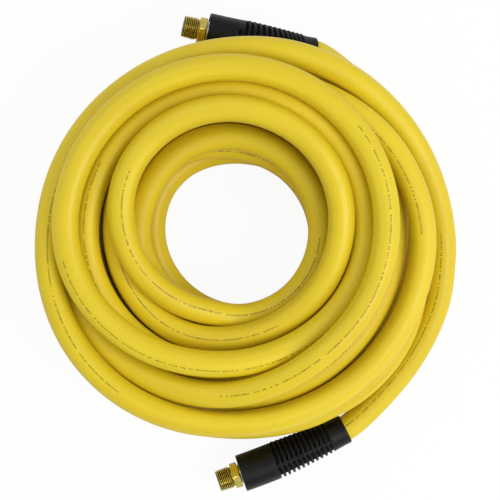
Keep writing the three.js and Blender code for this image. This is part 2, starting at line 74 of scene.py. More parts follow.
# radius and height of each station, for the turns that leave the floor
RAISED_TURNS = [
    173.2, 12.8, 168.2, 18.5, 165.2, 27.5, 159.6, 38, 153.6, 55.5, 148.6, 70.7, 144.5, 80.8, 140.7, 86.2, 137, 87.7, 135.6, 87.1,
    135.8, 85.7, 137.1, 84.4, 138.8, 83.6, 140.9, 83.2, 144.3, 82.3, 147.1, 80.8, 147.6, 78.4, 146.1, 75.6, 143.8, 73.2, 142.4, 71.9,
    141.7, 71.5, 141.4, 72.6, 141.1, 75.4, 140, 79.3, 135.7, 83.2, 130, 85.6, 123.2, 85.8, 118.7, 81.3, 117.1, 76.8, 117.4, 73.3,
    119.1, 70.5, 122.2, 68.2, 125.9, 67.2, 129.6, 66.3, 132, 65.6, 131.5, 66.8, 128.1, 71, 124.2, 78.2, 119.7, 86.6, 113.7, 94.6,
    109.3, 99.8, 108.3, 102, 109.1, 102.5, 110.7, 102.6, 113.1, 103.1, 115.5, 104.3, 117.6, 106.2, 119.8, 107.8, 121.9, 108, 123.7, 106.7,
    125.5, 104.6, 126.8, 102.5, 127.3, 100.4, 126.6, 98.2, 122.5, 96, 115.2, 94.1, 107.7, 92.4, 101, 90.8, 96.8, 88.9, 94.5, 86.9,
    94.2, 85, 95.3, 83.8, 96.2, 83.2, 96.6, 83.5, 98, 85.4, 100.3, 88.2, 102.1, 92.2, 103.8, 95.1, 106.6, 94.8, 108.4, 93.2,
    109.9, 90.8, 111.6, 87.6, 112.5, 84, 113.2, 80.1, 112.3, 76.7, 110.1, 74, 107.5, 72.1, 104, 70.5, 100.4, 68.9, 98, 66.9,
    97.2, 64.9, 97.7, 63.6, 98.4, 63, 98.7, 63.3, 98.7, 64.1, 98.4, 65.4, 97.7, 67.5, 97.2, 69.6, 96.9, 71.8, 96.5, 73.8,
    95.9, 75.4, 94.7, 76.3, 92.6, 76.4, 91.1, 74.1, 89.9, 70.9, 88.7, 68.7, 87, 68.5, 83.5, 69.9, 79.2, 71.5, 76.3, 73.2,
    74.7, 76, 74.6, 80.4, 75.5, 86.1, 77.6, 91.7, 80.7, 96.7, 84, 101.3, 86.7, 105.8, 89, 108.7, 91.5, 108.6, 93, 106.7,
    93.6, 103.6, 92.8, 100.3, 89.5, 97.1, 84, 93.2, 77.8, 87.9, 71.5, 80.9, 66.3, 72.4, 63, 64, 63.4, 58.2, 63.4, 56,
    63.4, 56.5, 63.4, 58.7, 63.6, 61.8, 64.2, 64.7, 65.1, 67.1, 66.5, 68.8, 68.3, 70.1, 70.7, 71.1, 73.3, 71.6, 75.1, 71.4,
    76, 70.4, 75.5, 68.4, 75.4, 65, 75.6, 60.6, 74, 55.7, 71.2, 50.3, 68.8, 45, 67.1, 40.5, 65.8, 37.3, 64.8, 35.7,
    64.3, 36.2, 64, 38.4, 64.3, 41.4, 65.1, 44.4, 64.8, 46.7, 64.9, 48.5, 64.7, 49.7, 65.4, 50.3, 67.4, 50.4, 71.2, 50.2,
    77.1, 49.9, 84.3, 49.8, 89.4, 49.7, 92.6, 49, 93.3, 48.1, 91.8, 47.9, 89.4, 48.3, 87.2, 49, 85.3, 49.6, 83.9, 49.9,
    83.2, 49.7, 83.2, 49.1, 84, 48.3, 85.1, 48, 85.7, 48.3, 86.1, 49, 85.8, 50.1, 86.2, 51.1, 87.8, 52.3, 91.2, 53.8,
    96.9, 55.1, 104.1, 55.7, 109.1, 55.7, 112.2, 55.2, 112.9, 54.3, 111.8, 53.2, 109.7, 51.8, 108.3, 50.6, 108.2, 49.9, 109.3, 49.8,
    110.5, 49.2, 111.4, 48.3, 111.9, 47.7, 111.9, 47.6, 111.7, 48.3, 111.4, 49.3, 109.9, 51.3, 109, 53.2, 109.3, 54.3, 111.6, 53.7,
    116.9, 50.4, 122.4, 45.8, 124.9, 42.4, 126.8, 40.4, 128.8, 40.9, 130.3, 43.7, 130.3, 48.5, 128.9, 54.5, 126.5, 60.3, 123.3, 64.6,
    121, 67.1, 119.5, 68, 119.2, 67.7, 120.2, 66.9, 122.6, 66, 126.3, 65.1, 130.1, 65.9, 133.4, 67.1, 135.4, 67.4, 136.6, 65.4,
    137.8, 61.7, 139.9, 57.4, 141.9, 54.1, 143.8, 51.7, 147.1, 50.6, 150, 50.2, 151, 50.1, 149.3, 50.3, 146.1, 50.4, 142.2, 50.1,
    138.2, 49.7, 134.9, 49.5, 132.8, 49.5, 132.4, 49.5, 134.2, 49.1, 138.6, 48.4, 139, 47.2, 134.9, 47, 129, 47.2, 129.5, 44.6,
    135.1, 40.4, 141.2, 36.5, 143.8, 33.7, 146.3, 31.5, 149.2, 30.4, 150.9, 29.7, 151.4, 29.6, 150.7, 29.8, 150, 30.4, 151.6, 31.5,
    153.1, 32.7, 151.8, 33.3, 145.5, 32.6, 138.2, 30, 135.2, 28.3, 132.6, 29, 129, 29.5, 126.4, 28.7, 125.3, 26.8, 125.8, 24.1,
    127.1, 21.8, 128.5, 20.2, 129.3, 19, 130.1, 19.1, 130.9, 20.6, 131.3, 23.4, 131, 26.2, 130.2, 28.3, 129.3, 29.4, 128.1, 29.8,
    126.3, 29.6, 123.9, 29, 120.9, 28.3, 117.6, 27.9, 114.6, 28.2, 111.9, 29.1, 108.6, 30.7, 106.3, 32.3, 105.8, 32.9, 106.9, 32.5,
    108.6, 31.2, 109.4, 29.8, 108.9, 29.5, 108.7, 29.3, 108.8, 29.2, 108.9, 29.2, 109.1, 29.2, 108.9, 29.3, 108.2, 29.5, 106.9, 29.6,
    105.2, 29.4, 103.1, 29.4, 100.3, 29.5, 97.1, 29.5, 94, 29.4, 91.3, 29.3, 88.2, 29.4, 86.1, 29.5, 85.6, 29.5, 86.6, 29.4,
    88.2, 29.6, 88.8, 29.6, 87.9, 29.4, 87.1, 29.2, 86.9, 28.6, 87.1, 28, 87.5, 28, 87.8, 28.7, 87.5, 29.4, 86.4, 29.7,
    84.6, 29.4, 82.3, 28.8, 79.8, 27.8, 76.6, 27.4, 73.4, 28.2, 70.7, 29, 67.8, 29.3, 65.7, 29.6, 65.2, 30, 66.1, 30.6,
    67.7, 31.2, 68.3, 31.5, 67.4, 31, 66.1, 30, 64.8, 28.5, 63.8, 26.4, 63.5, 23.6, 64, 20.3, 65.1, 16.9, 66, 13.9,
    66.7, 11.6, 67, 10.1, 66.9, 9.4,
]
# radius of each later station; these turns all lie at the same height
FLAT_Z = 9.24
FLAT_TURNS = [
    66.6, 65.9, 65.6, 65.9, 66.6, 67.5, 68.4,
    69.2, 69.5, 69.9, 70.8, 72.6, 75.1, 78.2, 81.4, 84.3, 86.5,
    87.9, 88.5, 88.2, 87.4, 86.5, 86.2, 86.5, 87.2, 88.1, 89,
    89.7, 90.2, 90.6, 91.5, 93.2, 95.7, 98.8, 102, 104.9, 107.1,
    108.5, 109.1, 108.8, 108, 107.1, 106.8, 107.1, 107.9, 108.8, 109.6,
    110.3, 110.8, 111.2, 112.1, 113.8, 116.3, 119.4, 122.6, 125.5, 127.7,
    129.1, 129.7, 129.4, 128.6, 127.8, 127.3, 128.3, 131.4, 136.4, 140.8,
    143.8, 145.8, 147.4, 149, 150.4, 151.4, 151.9, 152, 151.6, 151,
    150.4, 150.1, 150.2, 150.1, 150.6, 151.5, 152.9,
]
COIL = np.array(RAISED_TURNS + [v for radius in FLAT_TURNS for v in (radius, FLAT_Z)]).reshape(-1, 2)
ANGLES = FIRST_STATION + STATION_STEP * np.arange(len(COIL))


# ------------------------------------------------------------------ geometry helpers
def unit(vectors):
    vectors = np.asarray(vectors, float)
    return vectors / np.linalg.norm(vectors, axis=-1, keepdims=True)


def smooth(x):
    x = np.clip(x, 0, 1)
    return x * x * (3 - 2 * x)


def mm(points):
    """millimetres from the coil's axis to metres in the frame of the part"""
    return (np.asarray(points, float) + CENTRE) / 1000.0


def polar(degrees, radius, z):
    angle = np.radians(degrees)
    return np.stack([radius * np.cos(angle), radius * np.sin(angle), z], -1)


def columns_interp(where, known, table):
    return np.stack([np.interp(where, known, table[:, i]) for i in range(3)], -1)


def section_axes(tangents):
    """the level and the upward axis of cross sections square to the tangents"""
    side = unit(np.cross(tangents, [0, 0, 1.0]))
    return side, unit(np.cross(side, tangents))


def natural_spline(x, y):
    """natural cubic spline through (x, y), as a function"""
    count, gap = len(x), np.diff(x)
    lower, diagonal, upper, right = np.zeros(count), np.ones(count), np.zeros(count), np.zeros(count)
    for i in range(1, count - 1):
        lower[i], diagonal[i], upper[i] = gap[i - 1], 2 * (gap[i - 1] + gap[i]), gap[i]
        right[i] = 6 * ((y[i + 1] - y[i]) / gap[i] - (y[i] - y[i - 1]) / gap[i - 1])
    for i in range(1, count):                               # tridiagonal solve
        factor = lower[i] / diagonal[i - 1]
        diagonal[i] -= factor * upper[i - 1]
        right[i] -= factor * right[i - 1]
    bend = np.zeros(count)                                  # second derivatives
    bend[-1] = right[-1] / diagonal[-1]
    for i in range(count - 2, -1, -1):
        bend[i] = (right[i] - upper[i] * bend[i + 1]) / diagonal[i]

    def value(where):
        i = np.clip(np.searchsorted(x, where, side="right") - 1, 0, count - 2)
        past, left = where - x[i], x[i + 1] - where
        return ((bend[i] * left ** 3 + bend[i + 1] * past ** 3) / (6 * gap[i])
                + (y[i] / gap[i] - bend[i] * gap[i] / 6) * left
                + (y[i + 1] / gap[i] - bend[i + 1] * gap[i] / 6) * past)
    return value


SPAN_POINTS = 400                       # points in each span of a free end's curve


def catmull(points):
    """centripetal Catmull-Rom curve through points"""
    knots = [np.asarray(point, float) for point in points]
    knots = [2 * knots[0] - knots[1]] + knots + [2 * knots[-1] - knots[-2]]
    t = np.linspace(0, 1, SPAN_POINTS, endpoint=False)[:, None]
    curve = []
    for i in range(1, len(knots) - 2):
        before, start, end, after = knots[i - 1:i + 3]
        gap0, gap1, gap2 = (float(np.sum((one - two) ** 2)) ** 0.25
                            for one, two in ((before, start), (start, end), (end, after)))
        leave = ((start - before) / gap0 - (end - before) / (gap0 + gap1) + (end - start) / gap1) * gap1
        arrive = ((end - start) / gap1 - (after - start) / (gap1 + gap2) + (after - end) / gap2) * gap1
        curve.append(start + leave * t + (-3 * start + 3 * end - 2 * leave - arrive) * t ** 2
                     + (2 * start - 2 * end + leave + arrive) * t ** 3)
    curve.append(knots[-2][None])
    return np.concatenate(curve)


# ------------------------------------------------------------------ the free ends
class End:
    """one free end of the hose: its curve out of the coil, its hinges and its sleeve axis.
    knots: four points from the coil outwards; tail: centre of the sleeve's tail face;
    heading: degrees about Z at tail and mouth; tilt: (places along the sleeve, degrees above level);
    hinges: angles about the coil round which the hose end is cut into pieces; gate: degrees round the sleeve."""

    def __init__(self, key, knots, tail, heading, tilt, hinges, gate):
        self.key, self.heading, self.tilt = key, heading, tilt
        self.gate = math.radians(gate)
        self.sign = -1 if key == "a" else 1      # arc length grows from end a to end b
        tail = np.array(tail, float)
        point, samples = tail.copy(), []
        for i in range(int(SLEEVE_LEN + 25)):
            samples.append(point.copy())
            point = point + self.direction(i + 0.5)
        self.samples = np.array(samples)
        curve = catmull(list(knots) + [tail, self.axis(22.0), self.axis(44.0)])
        # four spans: three between stations, one to the tail
        self.curve = curve[: SPAN_POINTS * 4 + 1]
        angle = np.degrees(np.arctan2(self.curve[:, 1], self.curve[:, 0]))
        self.hinges = [self.curve[int(np.argmin(np.abs((angle - hinge + 540) % 360 - 180)))]
                       for hinge in hinges]

    def direction(self, along):
        first, last = self.heading
        turn = math.radians(first + (last - first) * min(1, max(0, along / SLEEVE_LEN)))
        rise = math.radians(float(np.interp(along, *self.tilt)))
        return np.array([math.cos(turn) * math.cos(rise), math.sin(turn) * math.cos(rise), math.sin(rise)])

    def axis(self, along):
        """point on the sleeve's axis"""
        i = int(max(0, min(len(self.samples) - 2, math.floor(along))))
        return self.samples[i] + (self.samples[i + 1] - self.samples[i]) * (along - i)

    def arc_at(self, along):
        """the hose's arc length at a place along the sleeve"""
        return HOSE_END - along if self.key == "a" else TOTAL - HOSE_END + along


def station(i, lift=0.0):
    return polar(ANGLES[i], COIL[i, 0], COIL[i, 1] + lift)


end_a = End("a", knots=[station(i) for i in (3, 2, 1, 0)],
            tail=(85.5, -153.6, 12.6), heading=(207.0, 198.9), tilt=((-12, 18), (0.0, 3.3)),
            hinges=(342, 333, 324, 316, 309, 302.5), gate=282)
end_b = End("b", knots=[station(i, lift) for i, lift in zip((-4, -3, -2, -1), (0, 0, 0.6, 1.3))],
            tail=(61.08, 143.98, 13.38), heading=(174.4, 167.6),
            tilt=((-14, 2, 16, 30, 44, 58, 72), (0.0, 15.5, 29.0, 28.5, 15.2, 3.4, 6.4)),
            hinges=(39, 48, 57), gate=78)
ENDS = (end_a, end_b)

# ------------------------------------------------------------------ the hose's centreline
spline_r, spline_z = natural_spline(ANGLES, COIL[:, 0]), natural_spline(ANGLES, COIL[:, 1])


def end_path(end, angle_from, angle_to):
    """the curve of a free end, ordered from station angle_from in the coil to the sleeve's tail.
    Between angle_from and angle_to it fades from the coil's own spline into the end's curve."""
    angle = np.degrees(np.unwrap(np.arctan2(end.curve[:, 1], end.curve[:, 0])))
    angle += angle_from - angle[0]
    weight = smooth((angle - angle_from) / (angle_to - angle_from))
    fading = weight < 1
    on_coil = polar(angle[fading], spline_r(angle[fading]), spline_z(angle[fading]))
    path = end.curve.copy()
    path[fading] = on_coil * (1 - weight[fading, None]) + path[fading] * weight[fading, None]
    return path


def raw_centreline():
    """one polyline from the hose's tip inside ferrule a to its tip inside ferrule b"""
    path_a = end_path(end_a, ANGLES[3], ANGLES[2])
    path_b = end_path(end_b, ANGLES[-4], ANGLES[-3])
    angles = np.arange(ANGLES[3] + 0.25, ANGLES[-4] - 0.01, 0.25)
    middle = polar(angles, spline_r(angles), spline_z(angles))
    in_a, in_b = (np.array([end.axis(along) for along in np.arange(1.0, HOSE_END + 0.5, 1.0)])
                  for end in ENDS)
    points = np.concatenate([in_a[::-1], path_a[::-1], middle, path_b, in_b])
    moved = np.linalg.norm(np.diff(points, axis=0), axis=1) > 1e-6
    return points[np.concatenate([[True], moved])]


raw = raw_centreline()
raw_arc = np.concatenate([[0], np.cumsum(np.linalg.norm(np.diff(raw, axis=0), axis=1))])
TOTAL = float(raw_arc[-1])
ARC = np.arange(0, raw_arc[-1], SAMPLE_STEP)


def smoothed(points, reach=16, spread=3.0, tip=40, fade_len=30):
    """a light smoothing, fading out towards the tips, where the hose follows its sleeve.
    reach is in samples; spread, tip and fade_len are in mm."""
    kernel = np.exp(-0.5 * (np.arange(-reach, reach + 1) * SAMPLE_STEP / spread) ** 2)
    kernel /= kernel.sum()
    padded = np.pad(points, ((reach, reach), (0, 0)), mode="edge")
    soft = np.stack([np.convolve(padded[:, i], kernel, mode="valid") for i in range(3)], -1)
    fade = np.clip(np.minimum(ARC - tip, ARC[-1] - ARC - tip) / fade_len, 0, 1)[:, None]
    return points * (1 - fade) + soft * fade


LINE = smoothed(columns_interp(ARC, raw_arc, raw))
TANGENTS = unit(np.gradient(LINE, axis=0))
# how far the hose has rolled about its own axis, in radians: slow and gentle
ROLL = sum(swing * np.sin(ARC / length + phase)
           for swing, length, phase in ((0.30, 610.0, 0.6), (0.22, 271.0, 2.1), (0.10, 143.0, 4.4)))


def section_at(arcs):
    """centres, section axes and rolls at an array of arc lengths"""
    side, up = section_axes(unit(columns_interp(arcs, ARC, TANGENTS)))
    return columns_interp(arcs, ARC, LINE), side, up, np.interp(arcs, ARC, ROLL)


def arc_of(point):
    """arc length of the centreline's point nearest to a point"""
    return float(ARC[int(np.argmin(np.linalg.norm(LINE - point, axis=1)))])


# ------------------------------------------------------------------ mesh helpers
def make(name, verts, faces, coords, material, sharp, painted_shade=None):
    """a smooth mesh object from millimetre points, with edges over `sharp` degrees kept sharp.
    coords are the points as if the hose were straight, in mm, for the materials.
    The painted-shade share is 0 on open surfaces and 1 at the bottom of grooves, where shade is painted in."""
    mesh = bpy.data.meshes.new(name)
    mesh.from_pydata(mm(verts).tolist(), [], faces)
    mesh.validate()
    mesh.update()
    mesh.polygons.foreach_set("use_smooth", np.ones(len(mesh.polygons), bool))
    mesh.set_sharp_from_angle(angle=math.radians(sharp))
    layer = mesh.attributes.new("straight", "FLOAT_VECTOR", "POINT")
    layer.data.foreach_set("vector", (np.asarray(coords, float) / 1000.0).astype(np.float32).ravel())
    # store the painted shade share as a point attribute
    if painted_shade is not None:
        layer = mesh.attributes.new("painted_shade", "FLOAT", "POINT")
        layer.data.foreach_set("value", np.asarray(painted_shade, np.float32).ravel())
    mesh.materials.append(material)
    return link_object(name, mesh)


def link_object(name, data):
    thing = bpy.data.objects.new(name, data)
    bpy.context.scene.collection.objects.link(thing)
    return thing


def grid_faces(rows, cols, base=0, closed_rows=False, flip=False):
    """quads between rings of `cols` points"""
    row, col = np.meshgrid(np.arange(rows if closed_rows else rows - 1), np.arange(cols), indexing="ij")
    next_row, next_col = (row + 1) % rows, (col + 1) % cols
    corners = [base + i * cols + j for i, j in
               ((row, col), (row, next_col), (next_row, next_col), (next_row, col))]
    if flip:
        corners = [corners[i] for i in (0, 3, 2, 1)]
    return np.stack(corners, -1).reshape(-1, 4).tolist()


def circle(sides):
    return np.arange(sides) / sides * 2 * math.pi


def rings(centre, side, up, radius, angle):
    """points of rings round the centres, as one list"""
    around = (np.cos(angle)[None, :, None] * side[:, None, :]
              + np.sin(angle)[None, :, None] * up[:, None, :])
    return (centre[:, None, :] + radius[..., None] * around).reshape(-1, 3)


def straightened(radius, phi, along):
    return np.stack([radius * np.cos(phi), radius * np.sin(phi),
                     np.broadcast_to(along[:, None], radius.shape)], -1).reshape(-1, 3)


# ------------------------------------------------------------------ node helpers
class Nodes:
    """a small helper to write shader nodes into an emptied tree"""

    def __init__(self, tree):
        self.tree = tree
        tree.nodes.clear()

    def node(self, kind, **settings):
        node = self.tree.nodes.new(kind)
        for key, value in settings.items():
            setattr(node, key, value)
        return node

    def put(self, socket, value):
        if isinstance(value, bpy.types.NodeSocket):
            self.tree.links.new(value, socket)
        else:
            socket.default_value = value

    def wired(self, kind, out, inputs, **settings):
        """a node with its inputs filled by name or index; gives the named output"""
        node = self.node(kind, **settings)
        for key, value in inputs.items():
            self.put(node.inputs[key], value)
        return node.outputs[out]

    def math(self, operation, *values):
        return self.wired("ShaderNodeMath", 0, dict(enumerate(values)), operation=operation)

    def scaled(self, value, by, plus=None):
        if plus is None:
            return self.math("MULTIPLY", value, by)
        return self.math("MULTIPLY_ADD", value, by, plus)

    def mix(self, factor, first, second):
        return self.wired("ShaderNodeMix", 2, {"Factor": factor, 6: first, 7: second}, data_type="RGBA")

    def noise(self, vector, scale, detail=3.0, rough=0.55):
        return self.wired("ShaderNodeTexNoise", "Fac",
                          {"Vector": vector, "Scale": scale, "Detail": detail, "Roughness": rough})

    def ramp(self, value, low, high, start=0.0, stop=1.0):
        """start at low, stop at high, eased between"""
        return self.wired("ShaderNodeMapRange", "Result",
                          {"Value": value, "From Min": low, "From Max": high,
                           "To Min": start, "To Max": stop}, interpolation_type="SMOOTHSTEP")

    def stretch(self, vector, xyz):
        return self.wired("ShaderNodeMapping", "Vector", {"Vector": vector, "Scale": xyz})

    def attribute(self, name="straight", out="Vector"):
        return self.wired("ShaderNodeAttribute", out, {}, attribute_type="GEOMETRY", attribute_name=name)

    # reads the painted shade share stored on the mesh: 1 where grooves and bores are painted dark
    def painted_shade(self):
        return self.attribute("painted_shade", "Fac")

    def bump(self, height, strength, distance, normal=None):
        inputs = {"Strength": strength, "Distance": distance, "Height": height}
        if normal is not None:
            inputs["Normal"] = normal
        return self.wired("ShaderNodeBump", "Normal", inputs)

    def principled(self, **inputs):
        return self.wired("ShaderNodeBsdfPrincipled", 0,
                          {key.replace("_", " "): value for key, value in inputs.items()})

    def blend_shaders(self, factor, first, second):
        return self.wired("ShaderNodeMixShader", 0, {0: factor, 1: first, 2: second})

    def camera_ray(self):
        return self.wired("ShaderNodeLightPath", "Is Camera Ray", {})

    def output(self, shader, kind="ShaderNodeOutputMaterial"):
        self.put(self.node(kind).inputs[0], shader)


def new_material(name):
    material = bpy.data.materials.new(name)
    material.use_nodes = True
    return material, Nodes(material.node_tree)


def srgb(*levels):
    """linear colour from red, green and blue, 0 to 255"""
    shares = [level / 255 for level in levels]
    return tuple(c / 12.92 if c <= 0.04045 else ((c + 0.055) / 1.055) ** 2.4 for c in shares) + (1.0,)


# ------------------------------------------------------------------ materials
def printed_dashes(nodes, coords, phi, along):
    """mask of a line of small plain dashes on the hose, where a real one is printed"""
    dash_pitch, group_pitch = 1.62, 587.0                    # mm
    gap_share, group_share, half_height = 0.17, 0.46, 0.62   # half_height in mm
    least_half, extra_half = 0.18, 0.24                      # dash half length, shares of the pitch
    around = nodes.scaled(nodes.math("SUBTRACT", phi, math.pi / 2), by=HOSE_R)
    cells = nodes.math("DIVIDE", along, dash_pitch)
    cell = nodes.math("FLOOR", cells)
    place = nodes.math("FRACT", cells)

    def random(seed):
        return nodes.wired("ShaderNodeTexWhiteNoise", "Value", {"W": nodes.math("ADD", cell, seed)},
                           noise_dimensions="1D")
    length, chance = random(seed=3.7), random(seed=41.3)
    off_middle = nodes.math("ABSOLUTE", nodes.math("SUBTRACT", place, 0.5))
    dash = nodes.math("LESS_THAN", off_middle, nodes.scaled(length, by=extra_half, plus=least_half))
    shown = nodes.math("GREATER_THAN", chance, gap_share)
    group = nodes.math("LESS_THAN", nodes.math("FRACT", nodes.math("DIVIDE", along, group_pitch)),
                       group_share)
    inside = nodes.math("LESS_THAN", nodes.math("ABSOLUTE", around), half_height)
    wear = nodes.ramp(nodes.noise(coords, scale=900.0, detail=2.0, rough=0.6),
                      low=0.30, high=0.52, start=0.40, stop=0.78)
    return nodes.math("MULTIPLY", nodes.math("MULTIPLY", dash, shown),
                      nodes.math("MULTIPLY", nodes.math("MULTIPLY", group, inside), wear))


def hose_material():
    pale, bright, streak = srgb(220, 193, 31), srgb(229, 205, 38), srgb(212, 184, 22)
    knit_tone, seam_tone = srgb(186, 158, 42), srgb(150, 128, 40)
    dust_tone, ink_tone = srgb(158, 142, 84), srgb(92, 79, 24)
    knit_pitch, knit_strands = 2.15, 11.0                    # mm along the hose; number round it
    seams, seam_width = (28, 151), 0.035                     # degrees round the hose; radians

    material, nodes = new_material("yellow_hose_rubber")
    coords = nodes.attribute()
    split = nodes.node("ShaderNodeSeparateXYZ")
    nodes.put(split.inputs[0], coords)
    x, y, z = split.outputs
    phi = nodes.math("ARCTAN2", y, x)
    along = nodes.scaled(z, by=1000.0)                       # mm along the hose
    # the spiral reinforcement shows through the cover as fine crossing diagonals
    run = nodes.scaled(along, by=2 * math.pi / knit_pitch)
    turn = nodes.scaled(phi, by=knit_strands)
    waves = [nodes.math("SINE", nodes.math(way, turn, run)) for way in ("ADD", "SUBTRACT")]
    knit = nodes.scaled(nodes.math("ADD", *waves), by=0.5)
    patchy = nodes.ramp(nodes.noise(nodes.stretch(coords, (1, 1, 0.35)), scale=60.0), low=0.30, high=0.70)
    # slow lengthwise streaks left by extrusion
    streaks = nodes.noise(nodes.stretch(coords, (1, 1, 0.012)), scale=260.0, rough=0.6)
    blotch = nodes.noise(nodes.stretch(coords, (1, 1, 0.25)), scale=34.0, rough=0.5)
    fine = nodes.noise(coords, scale=1500.0, detail=2.0, rough=0.6)

    # two faint extrusion lines
    def line(degrees):
        away = nodes.math("ABSOLUTE", nodes.math("SUBTRACT", phi, math.radians(degrees)))
        return nodes.ramp(away, low=0.0, high=seam_width, start=1.0, stop=0.0)
    seam = nodes.math("MAXIMUM", *[line(degrees) for degrees in seams])

    base = nodes.mix(nodes.ramp(blotch, low=0.28, high=0.72), pale, bright)
    base = nodes.mix(nodes.scaled(nodes.ramp(streaks, low=0.30, high=0.72), by=0.35), base, streak)
    knit_dark = nodes.math("MULTIPLY", nodes.ramp(knit, low=-1.0, high=1.0, start=1.0, stop=0.0),
                           nodes.scaled(patchy, by=0.15, plus=0.05))
    base = nodes.mix(knit_dark, base, knit_tone)
    base = nodes.mix(nodes.scaled(seam, by=0.22), base, seam_tone)
    # handling marks: a little grey-brown dust in patches
    dust = nodes.ramp(nodes.noise(nodes.stretch(coords, (1, 1, 0.6)), scale=110.0, detail=6.0, rough=0.62),
                      low=0.60, high=0.80, stop=0.16)
    base = nodes.mix(dust, base, dust_tone)
    base = nodes.mix(printed_dashes(nodes, coords, phi, along), base, ink_tone)

    rough = nodes.scaled(nodes.ramp(streaks, low=0.3, high=0.7), by=0.10, plus=0.40)
    rough = nodes.math("ADD", rough, nodes.scaled(dust, by=0.6))
    height = nodes.math("MULTIPLY", knit, nodes.scaled(patchy, by=0.7, plus=0.3))
    normal = nodes.bump(height, strength=0.45, distance=0.00010)
    normal = nodes.bump(fine, strength=0.12, distance=0.0001, normal=normal)
    normal = nodes.bump(streaks, strength=0.25, distance=0.0004, normal=normal)
    normal = nodes.bump(nodes.scaled(seam, by=-1.0), strength=0.4, distance=0.00015, normal=normal)
    nodes.output(nodes.principled(Base_Color=base, Roughness=rough, Normal=normal, IOR=1.48,
                                  Specular_IOR_Level=0.38))
    return material


def restrictor_material():
    dark, light, dust_tone, painted_shade_tone = srgb(8, 8, 9), srgb(15, 15, 17), srgb(58, 57, 54), srgb(3, 3, 4)
    material, nodes = new_material("black_restrictor_rubber")
    coords = nodes.attribute()
    broad = nodes.noise(coords, scale=90.0, detail=4.0)
    fine = nodes.noise(coords, scale=2400.0, rough=0.6)
    base = nodes.mix(nodes.ramp(broad, low=0.3, high=0.7), dark, light)
    dust = nodes.ramp(nodes.noise(coords, scale=420.0, detail=6.0, rough=0.65),
                      low=0.58, high=0.82, stop=0.14)
    base = nodes.mix(dust, base, dust_tone)
    # painted shade: the slots, the gate dimple and the bore are darkened towards a near-black tone by the stored shade
    # share
    recess_shade = nodes.painted_shade()
    base = nodes.mix(nodes.scaled(recess_shade, by=0.85), base, painted_shade_tone)
    rough = nodes.scaled(broad, by=0.22, plus=0.32)
    rough = nodes.math("ADD", rough, nodes.scaled(dust, by=0.9))
    rough = nodes.math("ADD", rough, nodes.scaled(recess_shade, by=0.35))
    normal = nodes.bump(fine, strength=0.25, distance=0.00012)
    normal = nodes.bump(broad, strength=0.12, distance=0.0006, normal=normal)
    nodes.output(nodes.principled(Base_Color=base, Roughness=rough, Normal=normal, IOR=1.46,
                                  Specular_IOR_Level=0.26))
    return material


def brass_material():
    light, dark, tarnish_tone, painted_shade_tone = (srgb(240, 222, 128), srgb(222, 200, 98),
                                            srgb(128, 112, 62), srgb(70, 58, 20))
    material, nodes = new_material("machined_brass")
    coords = nodes.attribute()
    # lathe lines run round the part
    turned = nodes.noise(nodes.stretch(coords, (0.15, 0.15, 6.0)), scale=900.0, detail=2.0, rough=0.6)
    patch = nodes.noise(coords, scale=260.0, detail=4.0, rough=0.6)
    base = nodes.mix(nodes.ramp(patch, low=0.32, high=0.70), light, dark)
    tarnish = nodes.ramp(nodes.noise(coords, scale=700.0, detail=5.0, rough=0.65),
                         low=0.55, high=0.85, stop=0.4)
    base = nodes.mix(tarnish, base, tarnish_tone)
    # painted shade: the thread roots, the necks beside the hexagon and the bore are darkened towards a dark brown
    base = nodes.mix(nodes.scaled(nodes.painted_shade(), by=0.88), base, painted_shade_tone)
    rough = nodes.scaled(turned, by=0.16, plus=0.17)
    rough = nodes.math("ADD", rough, nodes.scaled(tarnish, by=0.25))
    normal = nodes.bump(turned, strength=0.30, distance=0.00006)
    nodes.output(nodes.principled(Base_Color=base, Roughness=rough, Metallic=1.0, Normal=normal))
    return material


def zinc_material():
    light, dark = srgb(190, 186, 162), srgb(158, 154, 134)
    material, nodes = new_material("plated_steel")
    coords = nodes.attribute()
    turned = nodes.noise(nodes.stretch(coords, (0.2, 0.2, 5.0)), scale=700.0, detail=2.0, rough=0.6)
    patch = nodes.noise(coords, scale=300.0, detail=4.0, rough=0.6)
    base = nodes.mix(nodes.ramp(patch, low=0.3, high=0.7), light, dark)
    rough = nodes.scaled(turned, by=0.18, plus=0.22)
    normal = nodes.bump(turned, strength=0.25, distance=0.00006)
    nodes.output(nodes.principled(Base_Color=base, Roughness=rough, Metallic=1.0, Normal=normal))
    return material


HOSE, BLACK, BRASS, ZINC = hose_material(), restrictor_material(), brass_material(), zinc_material()

# ------------------------------------------------------------------ hose pieces
WALL_SIDES, BORE_SIDES = 32, 16
# the cover is pressed in a little where the lifted end of the hose leans on it
PRESSED_AT, PRESSED_DEPTH, PRESSED_REACH = np.array([72.0, -134.5, 32.2]), 0.62, 13.0


def wall_radius(arcs, phi, centre):
    """the cover isn't a perfect cylinder: a few hundredths of a millimetre of unevenness"""
    radius = (HOSE_R + 0.05 * np.sin(2 * phi + arcs[:, None] / 63.0)
              + 0.035 * np.sin(3 * phi - arcs[:, None] / 41.0))
    near = np.linalg.norm(centre - PRESSED_AT, axis=1)
    return radius - PRESSED_DEPTH * np.exp(-(near / PRESSED_REACH) ** 2)[:, None]


